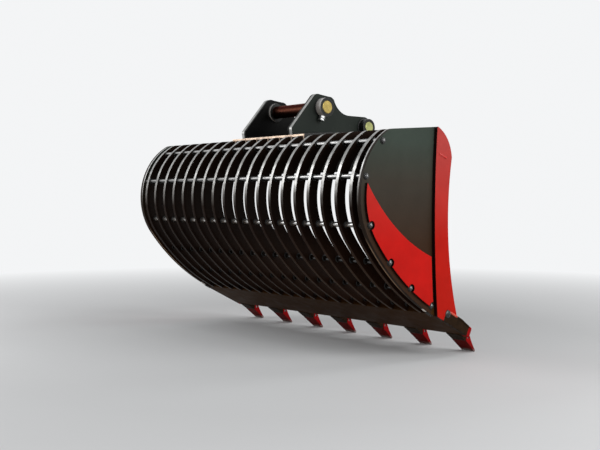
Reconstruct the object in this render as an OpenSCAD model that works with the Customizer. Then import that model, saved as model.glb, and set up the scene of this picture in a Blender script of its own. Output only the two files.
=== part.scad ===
// Riddle bucket for a 5 to 6 tonne excavator, in millimetres.
// The dipper pin's axis at mid-width is the origin: X across the bucket, Y towards the mouth, Z up.

/* [Ribs] */
// Thickness of each rib
rib_t = 12; // [8:0.5:20]
// Clear gap between neighbouring ribs
rib_gap = 50; // [30:1:100]
// Depth of a rib from outer to inner edge
rib_d = 35; // [33:1:50]
// Gap between the end rib and the side plate
end_gap = 21; // [12:1:40]
// Length of the rib's tail along the top of the lip
tail_l = 75; // [40:1:100]
// Height of the tail at its front end
tail_end = 5; // [3:0.5:10]

/* [Side outline] */
// Height of the top edge above the dipper pin
top_z = -96; // [-120:1:-80]
// Rise of the top edge towards the mouth, degrees
top_slope = 4.5; // [0:0.5:10]
// Back end of the straight top edge
top_back = -146; // [-165:1:-142]
// Radius of the top back corner
crown_r = 50; // [30:1:60]
// Turn of the top back corner, degrees
crown_turn = 25; // [15:0.5:35]
// Radius of the back
bowl_r = 230; // [210:1:260]
// Turn of the back, degrees
bowl_turn = 97; // [85:0.5:105]
// Radius of the belly
belly_r = 780; // [600:5:1000]
// Fall of the lip towards the teeth, degrees
lip_slope = 27; // [20:0.5:35]

/* [Side plates] */
// Thickness of a side plate
side_t = 15; // [8:0.5:25]
// Front edge at the top, forward of the pin
side_top_y = 53; // [48:1:58]
// Forward reach of the side plate's nose
nose_y = 100; // [80:1:105]
// Drop of the nose below the top edge
nose_drop = 98; // [70:1:120]
// Hollow of the side plate's front edge
side_sag = 28; // [0:1:40]

/* [Side cutters] */
// Thickness of a side cutter
cutter_t = 12; // [6:0.5:20]
// Back edge of the cutter at its top, forward of the pin
cutter_back = 50; // [44:1:51]
// Hollow of the cutter's back edge
cutter_hollow = 13; // [0:1:20]
// Width of the cutter's flat top
cutter_flat = 4; // [2:1:10]
// How far the cutter's nose reaches past the side plate's nose
cutter_reach = 22; // [8:1:40]
// Hollow of the cutter's front edge
cutter_sag = 31; // [0:1:50]
// Bulge of the cutter's rounded nose
nose_bulge = 16; // [0:0.5:20]
// Back edge of the cutter's foot, along the lip
cutter_heel = 22; // [5:1:30]
// Front edge of the cutter's foot, along the lip
cutter_toe = 112; // [90:1:125]
// How far the cutter's foot laps below the lip
cutter_lap = 0; // [0:0.5:6]

/* [Wear plates] */
// Thickness of a wear plate
wear_t = 8; // [4:0.5:15]
// Distance from the outline to the wear plate's lower edge
wear_in = 17; // [8:0.5:30]
// Place of the wear plate's tip on the back, degrees below the back's start
wear_tip = 49; // [35:0.5:70]
// Height of the wear plate's front corner above the lip
wear_h = 178; // [120:1:220]
// Hollow of the wear plate's upper edge
wear_sag = 30; // [0:1:40]
// Gap between the wear plate and the side cutter
wear_gap = 13; // [3:1:20]
// Radius cut out round a rod's end
wear_notch = 13; // [11:0.5:18]

/* [Cross rods] */
// Radius of a rod
rod_r = 8; // [5:0.5:8.5]
// How far a rod's end stands proud of the side plate
rod_proud = 9; // [5:0.5:15]
// Rise of the domed end
rod_dome = 3.5; // [1:0.5:5]
// Depth of the two upper rods below the outline
rod_in_back = 13; // [12:0.5:18]
// Depth of the four lower rods below the outline
rod_in = 22; // [16:0.5:23]

/* [Lip] */
// Thickness of the lip
lip_t = 25; // [16:0.5:30]
// Length of the lip from back to front edge
lip_l = 186; // [160:1:220]
// Height of the lip's front face
lip_nose = 8; // [4:0.5:12]
// Length of the bevel on top
lip_bevel = 45; // [20:1:60]

/* [Teeth] */
// Width of a tooth tip at its back
tooth_w = 60; // [50:1:70]
// Width of a tooth tip at its cutting edge
tooth_edge = 52; // [40:1:60]
// Reach of the teeth past the lip
tooth_l = 104; // [90:1:120]
// Fall of the tooth's cutting edge below the lip
tooth_fall = 19; // [10:1:25]
// Thickness of the cutting edge
edge_t = 6; // [3:0.5:10]
// Hollow of the tooth's upper face
tooth_sag = 5; // [0:0.5:6]
// Height of the adapter above the lip's underside
adapter_h = 46; // [42:1:50]
// Width of the adapter
adapter_w = 56; // [48:1:60]
// Length of the adapter's strap on the lip
strap_l = 66; // [60:1:80]
// Length of a corner adapter's outer leg along the lip's end
leg_l = 130; // [100:1:132]
// Height of the outer leg
leg_h = 38; // [36:1:45]
// Width of the adapter's nose inside the tip
nose_w = 40; // [30:1:44]
// Radius of a tooth pin
tooth_pin_r = 5; // [3:0.5:6]

/* [Top beam and ears] */
// Width of the hollow top beam
beam_s = 80; // [60:1:100]
// Height of the hollow top beam
beam_h = 116; // [80:1:130]
// Wall of the top beam
beam_wall = 6; // [4:0.5:10]
// Front of the top beam
beam_front = 50; // [45:1:55]
// Thickness of the ear base plate
base_t = 20; // [16:0.5:30]
// How far the base plate stands above the ribs
base_proud = 6; // [3:0.5:10]
// Width of the base plate
base_w = 392; // [385:1:440]
// Back edge of the base plate
base_back = -139; // [-141:1:-110]
// Middle of each ear from mid-width
ear_x = 127; // [110:1:150]
// Thickness of an ear
ear_t = 20; // [12:0.5:25]

/* [Pins and bosses] */
// Radius of the dipper pin
dipper_r = 22.5; // [20:0.5:25]
// Radius of the link pin
link_r = 20; // [17.5:0.5:22.5]
// Link pin forward of the dipper pin
link_y = 210; // [200:1:230]
// Link pin above the dipper pin
link_z = -59; // [-64:1:-54]
// Wall of a boss
boss_wall = 10.5; // [9:0.5:13]
// How far a boss stands out of the ear's outer face
boss_out = 26; // [22:0.5:40]
// How far a boss stands out of the ear's inner face
boss_in = 10; // [6:0.5:20]
// How far a pin stands out of its bosses
pin_proud = 2; // [0.5:0.5:5]
// Chamfer at a pin's ends
pin_chamfer = 2; // [1:0.5:4]
// Width of the relief groove at each end of a pin's bearing length
relief_w = 4; // [3:0.5:6]
// Depth of the relief groove
relief_d = 1; // [0.8:0.1:2]

/* [Set bolts] */
// Radius of a set bolt
bolt_r = 6; // [4:0.5:8]
// Width across flats of head and nut
bolt_af = 19; // [17:0.5:21]
// Thickness of the head
head_t = 7; // [5:0.5:9]
// Thickness of the lock nut
nut_t = 8; // [6:0.5:10]
// Direction of the set bolts about the pin, degrees
bolt_a = 250; // [240:1:270]

/* [Clearances] */
// Play round rods, bolts, boss holes and tooth sockets
slip = 0.3; // [0.2:0.05:0.5]
// Running play of a pin in its boss, on the radius
run = 0.05; // [0.03:0.01:0.1]

/* [Hidden] */
$fn = 96;
rib_n = 19;
tooth_n = 7;
far = 3000;
edge_n = 16;
pitch = rib_t + rib_gap;
shell_x = (rib_n - 1) / 2 * pitch + rib_t / 2 + end_gap;
side_x = shell_x + side_t;

// The side outline is a chain of arcs that run into each other: corner, back, belly.
top_a = 90 + top_slope;
crown_a = top_a + crown_turn;
bowl_a = crown_a + bowl_turn;
lip_a = 270 - lip_slope;
top_end = [top_back, top_z + top_back * tan(top_slope)];
crown_at = top_end - crown_r * dir(top_a);
bowl_at = crown_at + (crown_r - bowl_r) * dir(crown_a);
belly_at = bowl_at + (bowl_r - belly_r) * dir(bowl_a);
lip_at = belly_at + belly_r * dir(lip_a);
side_foot = lip_l - strap_l - slip;
u_dir = [cos(lip_slope), -sin(lip_slope)];
n_dir = [sin(lip_slope), cos(lip_slope)];

base_in = base_t - base_proud;
beam_back = beam_front - beam_s;
strip_back = top_back / cos(top_slope);

// How far pieces of one outline run into each other, so that they join as one solid.
tail_lap = 3;
lap_a = 2;
core_a = 8;

// Two rods low under the top corner, one at the heel of the back, three along the belly.
corner_rods = [9.5, 44];
heel_rod = 83.8;
belly_rods = [19.3, 9.8, 0.9];
rods = concat(
    [for (a = corner_rods) polar(bowl_at, bowl_r - rod_in_back, crown_a + a)],
    [polar(bowl_at, bowl_r - rod_in, crown_a + heel_rod)],
    [for (a = belly_rods) polar(belly_at, belly_r - rod_in, lip_a - a)]
);

// The base plate's overhang past the top beam, and the room between a boss and the journal's groove.
base_over = 2;
bearing_play = 3;

dipper_at = [0, 0];
link_at = [link_y, link_z];
boss_end = ear_x + ear_t / 2 + boss_out;
boss_start = ear_x - ear_t / 2 - boss_in;
bolt_x = (ear_x + ear_t / 2 + boss_end) / 2;
thread_show = 2;
pin_end = boss_end + pin_proud;
bearing = boss_start - relief_w - bearing_play;

base_front = beam_front + base_over;
dipper_boss_r = dipper_r + boss_wall;
link_boss_r = link_r + boss_wall;

// Straight edges end this far inside the round corners they meet.
tuck = 0.05;

// Ear outline: a heel at the back, a blunt crown over the dipper pin, a hollow, and the link pin's lobe.
back_a = 138.6;
heel_a = 190;
crest_a = 96;
shoulder_a = 60;
shoulder_in = 5;
lobe_a = 266;
heel_at = [-128, -82];
heel_r = 14.5;
ear_back_at = [-20, 19];
ear_back_r = 28;
ear_front_at = [36, 15];
ear_front_r = 26;
hollow_r = 80;
lobe_r = 39;
link_top = link_z + lobe_r;
hollow_z = link_top + hollow_r;
hollow_span = ear_front_r + hollow_r;
hollow_dz = hollow_z - ear_front_at[1];
hollow_at = [ear_front_at[0] + sqrt(hollow_span * hollow_span - hollow_dz * hollow_dz), hollow_z];

// Tooth outline in the lip's own frame, from the lip's front edge forward.
tip_back = 20;
tip_skew = 20;
tip_step = 3;
tip_drop = 7;
back_high = [tip_back, adapter_h - tip_step];
back_low = [tip_back + tip_skew, -tip_drop];
tip_high = [tooth_l, edge_t / 2 - tooth_fall];
tip_low = [tooth_l, -edge_t / 2 - tooth_fall];
nose_from = 0.2;
nose_to = 0.86;
nose_high = back_high + nose_from * (back_low - back_high);
nose_low = back_high + nose_to * (back_low - back_high);
nose_root = 0.15;
point_l = 36;
nose_end = tooth_l - point_l;
tooth_pin_in = 26;
tooth_pin_u = back_high[0] + tooth_pin_in;

// The adapter's strap: its ramp, the height of its toe, its wrap under the lip's edge and its blunt crown.
strap_ramp = 25;
strap_toe = 7;
lip_wrap = 2;
crown_step = 10;

// The corner adapter's web in front of the lip, and the chamfer at the back of its leg.
leg_web = 16;
leg_web_h = 30;
leg_round = 8;

// The outer teeth stand in line with the outer ribs.
tooth_x = (rib_n - 1) / 2 * pitch;

function dir(a) = [cos(a), sin(a)];
function polar(c, r, a) = c + r * dir(a);
function top_point(y) = [y, top_z + y * tan(top_slope)];
function on_top(s, h) =
    [s * cos(top_slope) - h * sin(top_slope), top_z + s * sin(top_slope) + h * cos(top_slope)];
function grade(p, q) = (q[1] - p[1]) / (q[0] - p[0]);
function nose_top(u) = nose_high[1] + (u - nose_high[0]) * grade(back_high, tip_high);
function nose_low_at(u) = nose_low[1] + (u - nose_low[0]) * grade(back_low, tip_low);
function on_lip(u, n) = lip_at + u * u_dir + n * n_dir;
function arc(c, r, a, b, n) = [for (i = [0 : n]) c + r * dir(a + (b - a) * i / n)];
function left_of(v) = [-v[1], v[0]] / norm(v);
function bow(p, q, sag, n) =
    [for (i = [0 : n]) let (t = i / n) p + t * (q - p) + 4 * sag * t * (1 - t) * left_of(q - p)];

// Flat plates drawn in the side view, from x0 towards the right side.
module slab(x0, t) {
    translate([x0, 0, 0])
        rotate([90, 0, 90])
            for (k = [0 : $children - 1])
                linear_extrude(t)
                    children(k);
}

module mirrored(side) {
    if (side > 0) children();
    else mirror([1, 0, 0]) children();
}

module at_top() {
    translate([0, top_z])
        rotate(top_slope)
            children();
}

module at_lip() {
    translate(lip_at)
        rotate(-lip_slope)
            children();
}

module wedge(c, r, a, b) {
    polygon([c, c + 2 * r * dir(a), c + 2 * r * dir((a + b) / 2), c + 2 * r * dir(b)]);
}

// The part of a ring of outer radius r and depth d between two directions.
module band(c, r, d, a, b) {
    intersection() {
        translate(c)
            difference() {
                circle(r);
                if (r > d) circle(r - d);
            }
        wedge(c, r, a, b);
    }
}

// The bands of the back and the belly overlap their neighbours a little, so that all join as one solid.
module back_band() {
    band(bowl_at, bowl_r, rib_d, crown_a - lap_a / 2, bowl_a - lap_a);
}

module belly_band() {
    band(belly_at, belly_r, rib_d, bowl_a - lap_a / 2, lip_a);
}

module rod_holes() {
    for (p = rods)
        translate(p)
            circle(rod_r + slip);
}

// Ribs

module rib_top() {
    polygon(concat(
        [on_top(beam_front, -rib_d), on_top(beam_front, 0)],
        arc(crown_at, crown_r, top_a, crown_a - lap_a, 6),
        [polar(bowl_at, bowl_r - rib_d / 2, crown_a + core_a), on_top(strip_back, -rib_d)]
    ));
}

module rib_tail() {
    at_lip()
        polygon([
            [-tail_lap, lip_t], [tail_l, lip_t], [tail_l, lip_t + tail_end],
            [0, rib_d - 1], [-tail_lap, rib_d - tail_end]
        ]);
}

module beam_space() {
    at_top()
        translate([beam_back, -base_in - beam_h])
            square([far, beam_h]);
}

// The room for the base plate runs on into the beam's, so that no film is left between the two.
module base_space() {
    at_top() {
        translate([base_back - slip, -base_in])
            square([far, far]);
        translate([beam_back, -base_in - beam_h / 2])
            square([far, beam_h]);
    }
}

module rib(i) {
    x = (i - (rib_n - 1) / 2) * pitch;
    color("#17181a")
        difference() {
            slab(x - rib_t / 2, rib_t) {
                rib_top();
                back_band();
                belly_band();
                rib_tail();
            }
            slab(x - rib_t, 2 * rib_t) {
                rod_holes();
                beam_space();
                if (abs(x) < base_w / 2) base_space();
            }
        }
}

// Cross rods

module rod(i) {
    len = 2 * (side_x + rod_proud - rod_dome);
    dome_r = (rod_r * rod_r + rod_dome * rod_dome) / (2 * rod_dome);
    color("#2b2c2e")
        translate([0, rods[i][0], rods[i][1]])
            rotate([0, 90, 0]) {
                cylinder(r = rod_r, h = len, center = true);
                for (m = [0, 1])
                    mirror([0, 0, m])
                        intersection() {
                            translate([0, 0, len / 2 + rod_dome - dome_r])
                                sphere(r = dome_r);
                            translate([0, 0, len / 2])
                                cylinder(r = rod_r, h = 2 * rod_dome);
                        }
            }
}

// Side plates, wear plates and side cutters

module side_core() {
    nose = [nose_y, top_point(nose_y)[1] - nose_drop];
    foot = on_lip(side_foot, lip_t);
    polygon(concat(
        [top_point(side_top_y)],
        arc(crown_at, crown_r, top_a, crown_a - lap_a, 6),
        arc(bowl_at, bowl_r - rib_d / 2, crown_a + core_a, bowl_a - 2 * lap_a, 8),
        arc(belly_at, belly_r - rib_d / 2, bowl_a + lap_a, lip_a - lap_a, 4),
        [on_lip(-tail_lap, lip_t)],
        bow(foot, nose, side_sag, 12)
    ));
}

module side_plate(side) {
    color("#4a4c49")
        mirrored(side)
            difference() {
                slab(shell_x, side_t) {
                    back_band();
                    belly_band();
                    side_core();
                }
                slab(shell_x - side_t, 3 * side_t)
                    rod_holes();
            }
}

// The cutter's back edge bows in between its top and its heel on the lip.
function cutter_edge() = bow(top_point(cutter_back), on_lip(cutter_heel, -cutter_lap), -cutter_hollow, edge_n);

// The room behind the cutter, for the wear plate.
module behind_cutter() {
    edge = [for (p = cutter_edge()) p - [wear_gap, 0]];
    polygon(concat(edge, [edge[edge_n] - [far, 0], edge[0] - [far, 0]]));
}

module wear_plate(side) {
    tip_a = crown_a + wear_tip;
    tip = polar(bowl_at, bowl_r - wear_in, tip_a);
    corner = [cutter_back - wear_gap, lip_at[1] + wear_h];
    color("#c8342c")
        mirrored(side)
            slab(side_x, wear_t)
                difference() {
                    intersection() {
                        polygon(concat(
                            arc(bowl_at, bowl_r - wear_in, tip_a, bowl_a, 16),
                            arc(belly_at, belly_r - wear_in, bowl_a, lip_a, 16),
                            bow(corner, tip, wear_sag, 14)
                        ));
                        behind_cutter();
                    }
                    for (p = rods)
                        translate(p)
                            circle(wear_notch);
                }
}

module side_cutter(side) {
    flat_end = top_point(cutter_back + cutter_flat);
    nose = [nose_y + cutter_reach, top_point(nose_y)[1] - nose_drop];
    leg_back = lip_l - leg_l - slip;
    leg_top = leg_h + slip;
    color("#c8342c")
        mirrored(side)
            slab(side_x, cutter_t)
                polygon(concat(
                    cutter_edge(),
                    [on_lip(leg_back, -cutter_lap), on_lip(leg_back, leg_top)],
                    bow(on_lip(cutter_toe, leg_top), nose, cutter_sag, 14),
                    bow(nose, flat_end, -nose_bulge, 8)
                ));
}

// Lip

module lip() {
    color("#2e2824")
        slab(-side_x, 2 * side_x)
            at_lip()
                polygon([
                    [0, 0], [lip_l, 0], [lip_l, lip_nose], [lip_l - lip_bevel, lip_t], [0, lip_t]
                ]);
}

// Teeth: adapters welded on the lip, tips slipped over their noses, a pin across each

module tooth_place(i) {
    x = (1 - 2 * i / (tooth_n - 1)) * tooth_x;
    translate([x, lip_at[0], lip_at[1]])
        rotate([-lip_slope, 0, 0])
            translate([0, lip_l, 0])
                children();
}

module nose_side(g) {
    polygon([
        nose_high - nose_root * (tip_high - back_high) + [0, g],
        [nose_end + g, nose_top(nose_end) + g],
        [nose_end + g, nose_low_at(nose_end) - g],
        nose_low - nose_root * (tip_low - back_low) - [0, g]
    ]);
}

module tooth_pin_bore() {
    translate([0, tooth_pin_u, (nose_top(tooth_pin_u) + nose_low_at(tooth_pin_u)) / 2])
        rotate([0, 90, 0])
            cylinder(r = tooth_pin_r + slip, h = 2 * tooth_w, center = true);
}

// A corner adapter also clasps the lip's end with a leg that the cutter's foot stands on.
module outer_leg() {
    from = side_x + slip - tooth_x;
    slab(from, cutter_t - slip)
        polygon([
            [-leg_l, 0], [leg_web, 0], [leg_web, leg_web_h], [-lip_bevel, leg_h],
            [leg_round - leg_l, leg_h], [-leg_l, leg_h - leg_round]
        ]);
    slab(0, from + slip)
        polygon([[slip, 0], [leg_web, 0], [leg_web, leg_web_h], [slip, leg_web_h]]);
}

module adapter(i) {
    color("#232325")
        tooth_place(i)
            difference() {
                union() {
                    slab(-adapter_w / 2, adapter_w)
                        polygon([
                            [-strap_l, lip_t], [-lip_bevel, lip_t], [slip, lip_nose], [slip, -lip_wrap],
                            back_low - [slip, 0], back_high - [slip, 0],
                            [back_high[0] - crown_step, adapter_h],
                            [strap_ramp - strap_l, adapter_h], [-strap_l, lip_t + strap_toe]
                        ]);
                    slab(-nose_w / 2, nose_w)
                        nose_side(0);
                    if (i == 0) outer_leg();
                    if (i == tooth_n - 1) mirror([1, 0, 0]) outer_leg();
                }
                tooth_pin_bore();
            }
}

module tooth(i) {
    color("#c8342c")
        tooth_place(i)
            difference() {
                intersection() {
                    slab(-tooth_w / 2, tooth_w)
                        polygon(concat(bow(back_high, tip_high, -tooth_sag, 10), [tip_low, back_low]));
                    translate([0, 0, -tooth_l])
                        linear_extrude(2 * tooth_l)
                            polygon([
                                [-tooth_w / 2, 0], [tooth_w / 2, 0], [tooth_w / 2, back_low[0]],
                                [tooth_edge / 2, tooth_l], [-tooth_edge / 2, tooth_l],
                                [-tooth_w / 2, back_low[0]]
                            ]);
                }
                slab(-nose_w / 2 - slip, nose_w + 2 * slip)
                    nose_side(slip);
                tooth_pin_bore();
            }
}

module tooth_pins() {
    color("#8a8c8f")
        for (i = [0 : tooth_n - 1])
            tooth_place(i)
                translate([0, tooth_pin_u, (nose_top(tooth_pin_u) + nose_low_at(tooth_pin_u)) / 2])
                    rotate([0, 90, 0])
                        cylinder(r = tooth_pin_r, h = tooth_edge, center = true);
}

// Top beam, base plate and ears

module top_beam() {
    color("#2c2d2f")
        slab(-shell_x, 2 * shell_x)
            at_top()
                translate([beam_back, -base_in - beam_h])
                    difference() {
                        square([beam_s, beam_h]);
                        translate([beam_wall, beam_wall])
                            square([beam_s - 2 * beam_wall, beam_h - 2 * beam_wall]);
                    }
}

module base_plate() {
    color("#3a3b3d")
        slab(-base_w / 2, base_w)
            at_top()
                translate([base_back, -base_in])
                    square([base_front - base_back, base_t]);
}

module ear_core() {
    polygon([
        on_top(base_back, base_proud),
        polar(heel_at, heel_r - tuck, heel_a),
        polar(heel_at, heel_r - tuck, back_a),
        polar(ear_back_at, ear_back_r - tuck, back_a),
        polar(ear_back_at, ear_back_r - tuck, crest_a),
        polar(ear_front_at, ear_front_r - tuck, crest_a),
        polar(ear_front_at, ear_front_r - shoulder_in, shoulder_a),
        [hollow_at[0], ear_front_at[1] + ear_front_r / 2],
        [hollow_at[0] + 5, link_top - tuck],
        polar(link_at, lobe_r - tuck, 90),
        link_at,
        polar(link_at, lobe_r - tuck, lobe_a),
        on_top(base_front, base_proud)
    ]);
}

module disc(c, r) {
    translate(c)
        circle(r);
}

module ear(side) {
    color("#2a2b2d")
        mirrored(side)
            difference() {
                slab(ear_x - ear_t / 2, ear_t) {
                    ear_core();
                    disc(heel_at, heel_r);
                    disc(ear_back_at, ear_back_r);
                    disc(ear_front_at, ear_front_r);
                    disc(link_at, lobe_r);
                }
                slab(ear_x - ear_t, 2 * ear_t) {
                    disc(hollow_at, hollow_r);
                    disc(dipper_at, dipper_boss_r + slip);
                    disc(link_at, link_boss_r + slip);
                }
            }
}

// Bosses, pins and set bolts

module along_x(c, x0, x1, r) {
    translate([x0, c[0], c[1]])
        rotate([0, 90, 0])
            cylinder(r = r, h = x1 - x0);
}

module spoke(c) {
    translate([bolt_x, c[0], c[1]])
        rotate([bolt_a - 90, 0, 0])
            children();
}

module boss(side, c, r, pin_r) {
    color("#2a2b2d")
        mirrored(side)
            difference() {
                along_x(c, boss_start, boss_end, r);
                along_x(c, 0, 2 * boss_end, pin_r + run);
                if (side > 0)
                    spoke(c)
                        cylinder(r = bolt_r + slip, h = 2 * r);
            }
}

module pin(c, r) {
    color("#c9a53c")
        translate([0, c[0], c[1]])
            rotate([0, 90, 0])
                rotate_extrude()
                    polygon([
                        [0, -pin_end], [r - pin_chamfer, -pin_end], [r, -pin_end + pin_chamfer],
                        [r, -bearing - relief_w], [r - relief_d, -bearing - relief_w],
                        [r - relief_d, -bearing], [r, -bearing], [r, bearing], [r - relief_d, bearing],
                        [r - relief_d, bearing + relief_w], [r, bearing + relief_w],
                        [r, pin_end - pin_chamfer], [r - pin_chamfer, pin_end], [0, pin_end]
                    ]);
}

module hexagon() {
    polygon([for (i = [0 : 5]) bolt_af / sqrt(3) * dir(60 * i)]);
}

module set_bolt(c, r, pin_r) {
    tip = pin_r + run + slip;
    under = r + slip + nut_t + thread_show;
    spoke(c) {
        translate([0, 0, tip])
            cylinder(r = bolt_r, h = under - tip);
        translate([0, 0, under])
            linear_extrude(head_t)
                hexagon();
    }
}

module set_bolts() {
    color("#b9bcc0") {
        set_bolt(dipper_at, dipper_boss_r, dipper_r);
        set_bolt(link_at, link_boss_r, link_r);
    }
}

module lock_nut(c, r) {
    spoke(c)
        translate([0, 0, r + slip])
            linear_extrude(nut_t)
                difference() {
                    hexagon();
                    circle(bolt_r + slip);
                }
}

module lock_nuts() {
    color("#b9bcc0") {
        lock_nut(dipper_at, dipper_boss_r);
        lock_nut(link_at, link_boss_r);
    }
}

side_plate(-1);  // left_side_plate
wear_plate(-1);  // left_wear_plate
side_cutter(-1);  // left_side_cutter
side_plate(1);  // right_side_plate
wear_plate(1);  // right_wear_plate
side_cutter(1);  // right_side_cutter
rib(0);  // rib_01
rib(1);  // rib_02
rib(2);  // rib_03
rib(3);  // rib_04
rib(4);  // rib_05
rib(5);  // rib_06
rib(6);  // rib_07
rib(7);  // rib_08
rib(8);  // rib_09
rib(9);  // rib_10
rib(10);  // rib_11
rib(11);  // rib_12
rib(12);  // rib_13
rib(13);  // rib_14
rib(14);  // rib_15
rib(15);  // rib_16
rib(16);  // rib_17
rib(17);  // rib_18
rib(18);  // rib_19
rod(0);  // cross_rod_1
rod(1);  // cross_rod_2
rod(2);  // cross_rod_3
rod(3);  // cross_rod_4
rod(4);  // cross_rod_5
rod(5);  // cross_rod_6
lip();  // cutting_lip
adapter(0);  // adapter_1
adapter(1);  // adapter_2
adapter(2);  // adapter_3
adapter(3);  // adapter_4
adapter(4);  // adapter_5
adapter(5);  // adapter_6
adapter(6);  // adapter_7
tooth(0);  // tooth_1
tooth(1);  // tooth_2
tooth(2);  // tooth_3
tooth(3);  // tooth_4
tooth(4);  // tooth_5
tooth(5);  // tooth_6
tooth(6);  // tooth_7
tooth_pins();
top_beam();
base_plate();  // ear_base_plate
ear(-1);  // left_ear
ear(1);  // right_ear
boss(-1, dipper_at, dipper_boss_r, dipper_r);  // left_dipper_boss
boss(-1, link_at, link_boss_r, link_r);  // left_link_boss
boss(1, dipper_at, dipper_boss_r, dipper_r);  // right_dipper_boss
boss(1, link_at, link_boss_r, link_r);  // right_link_boss
pin(dipper_at, dipper_r);  // dipper_pin
pin(link_at, link_r);  // link_pin
set_bolts();
lock_nuts();
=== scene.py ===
import math
from collections import namedtuple

import bmesh
import bpy
from mathutils import Matrix, Vector


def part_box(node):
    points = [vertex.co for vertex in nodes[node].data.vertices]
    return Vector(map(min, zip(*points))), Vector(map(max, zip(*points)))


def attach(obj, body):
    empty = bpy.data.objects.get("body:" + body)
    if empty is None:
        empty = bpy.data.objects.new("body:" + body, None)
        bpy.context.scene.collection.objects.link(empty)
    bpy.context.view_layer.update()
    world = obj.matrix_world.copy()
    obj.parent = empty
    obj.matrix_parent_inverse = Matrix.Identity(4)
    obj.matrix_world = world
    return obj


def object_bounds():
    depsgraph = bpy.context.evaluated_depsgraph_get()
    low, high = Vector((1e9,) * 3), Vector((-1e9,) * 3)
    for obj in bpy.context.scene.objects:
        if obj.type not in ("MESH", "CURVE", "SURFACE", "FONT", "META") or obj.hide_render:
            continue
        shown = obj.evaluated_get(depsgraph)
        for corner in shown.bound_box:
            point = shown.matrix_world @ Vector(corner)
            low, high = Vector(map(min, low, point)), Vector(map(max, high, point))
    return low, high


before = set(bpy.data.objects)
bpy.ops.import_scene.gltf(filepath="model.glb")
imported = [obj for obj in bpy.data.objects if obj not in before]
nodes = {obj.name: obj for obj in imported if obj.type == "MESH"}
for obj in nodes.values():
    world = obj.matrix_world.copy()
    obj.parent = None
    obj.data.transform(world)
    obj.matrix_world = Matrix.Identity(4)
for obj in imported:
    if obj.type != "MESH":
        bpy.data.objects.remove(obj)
cad_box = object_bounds()
scene = bpy.context.scene

# Camera, placed from the vanishing point of the ribs and the pitch between them
CAM_AT = Vector((2.387, -2.122, -0.316))
CAM_RIGHT = Vector((0.6676, 0.7446, 0.0))
CAM_FORWARD = Vector((-0.7442, 0.6673, -0.0307))
FOCAL_PX = 880.0
IMAGE_W = 600.0
SENSOR = 36.0

# Measures of the solids that the added pieces sit on, in metres
SIDES = (-1, 1)
RIB_N = 19
RIB_PITCH = 0.062
RIB_T = 0.012
ROD_N = 6
ROD_R = 0.008
SHELL_X = 0.585
SIDE_X = 0.600
CUTTER_X = 0.612
LIP_AT = (0.0346, -0.6819)
LIP_SLOPE = math.radians(27.0)
LIP_L = 0.186
LIP_T = 0.025
LIP_BEVEL = 0.045
LIP_NOSE = 0.008
TAIL_L = 0.075
TOP_Z = -0.096
TOP_SLOPE = math.radians(4.5)
BASE_BACK = -0.139
BASE_FRONT = 0.052
BASE_DOWN = -0.014
BASE_UP = 0.006
BASE_RIBS = range(6, 13)
EAR_X = 0.127
EAR_T = 0.020
BOSSES = ((0.0, 0.0, 0.033), (0.210, -0.059, 0.0305))
TOOTH_N = 7
TOOTH_X = 0.558
STRAP_L = 0.066
ADAPTER_W = 0.056
LEG_H = 0.0365
LEG_WEB = 0.016
LEG_FRONT_H = 0.0285

# Colours, linear
STEEL = (0.40, 0.40, 0.39)
# Bright steel for the painted highlights on the side plates and the rods
HIGHLIGHT_STEEL = (0.54, 0.54, 0.53)
DULL_STEEL = (0.10, 0.095, 0.09)
# Bright warm steel for the painted warm highlight on the base plate's back strip and its welds
WARM_HIGHLIGHT_STEEL = (0.80, 0.62, 0.48)
# Side plate colours: the cooler top is painted cool light from above, the browner bottom a painted warm
# reflection from below
SIDE_TOP_COOL_LIGHT = (0.046, 0.063, 0.052)
SIDE_MIDDLE = (0.045, 0.039, 0.030)
SIDE_BOTTOM_WARM_REFLECTION = (0.041, 0.019, 0.009)
SIDE_EDGE = (0.026, 0.018, 0.013)
# Painted golden highlight on the inner corner of the side plate's edge, low down
LOW_EDGE_HIGHLIGHT = (0.36, 0.27, 0.19)
# Red plates: the paler high colours are a painted sheen at the top
WEAR_LOW = (0.60, 0.011, 0.008)
WEAR_HIGH_SHEEN = (0.55, 0.040, 0.032)
CUTTER_LOW = (0.52, 0.012, 0.006)
CUTTER_HIGH_SHEEN = (0.475, 0.060, 0.054)
# Painted shade on the edges of the red plates that look back
RED_EDGE_SHADE = (0.020, 0.008, 0.008)
RED_WORN = (0.20, 0.030, 0.025)
MARK_RED = (0.62, 0.030, 0.024)
MARK_WORN = (0.50, 0.060, 0.050)
TOOTH_RED = (0.40, 0.006, 0.008)
TOOTH_TIP = (0.16, 0.005, 0.006)
# Painted shade on the teeth's undersides
TOOTH_UNDER_SHADE = (0.160, 0.009, 0.008)
TOOTH_PIN_GREY = (0.30, 0.29, 0.28)
RIB_BROWN = (0.0190, 0.0110, 0.0078)
# Painted warm bounce light on the ribs' belly and a painted bronze highlight on its edges
RIB_BELLY_GLOW = (0.034, 0.018, 0.012)
RIB_BRONZE_HIGHLIGHT = (0.064, 0.041, 0.026)
ROD_BLACK = (0.008, 0.008, 0.007)
LIP_BROWN = (0.054, 0.0235, 0.0058)
ADAPTER_BROWN = (0.026, 0.0135, 0.0055)
EAR_OUTSIDE = (0.021, 0.0265, 0.0225)
# Painted shade on the ears' faces that look at each other
EAR_INSIDE_SHADE = (0.003, 0.003, 0.0028)
BASE_GREY = (0.022, 0.024, 0.023)
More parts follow.
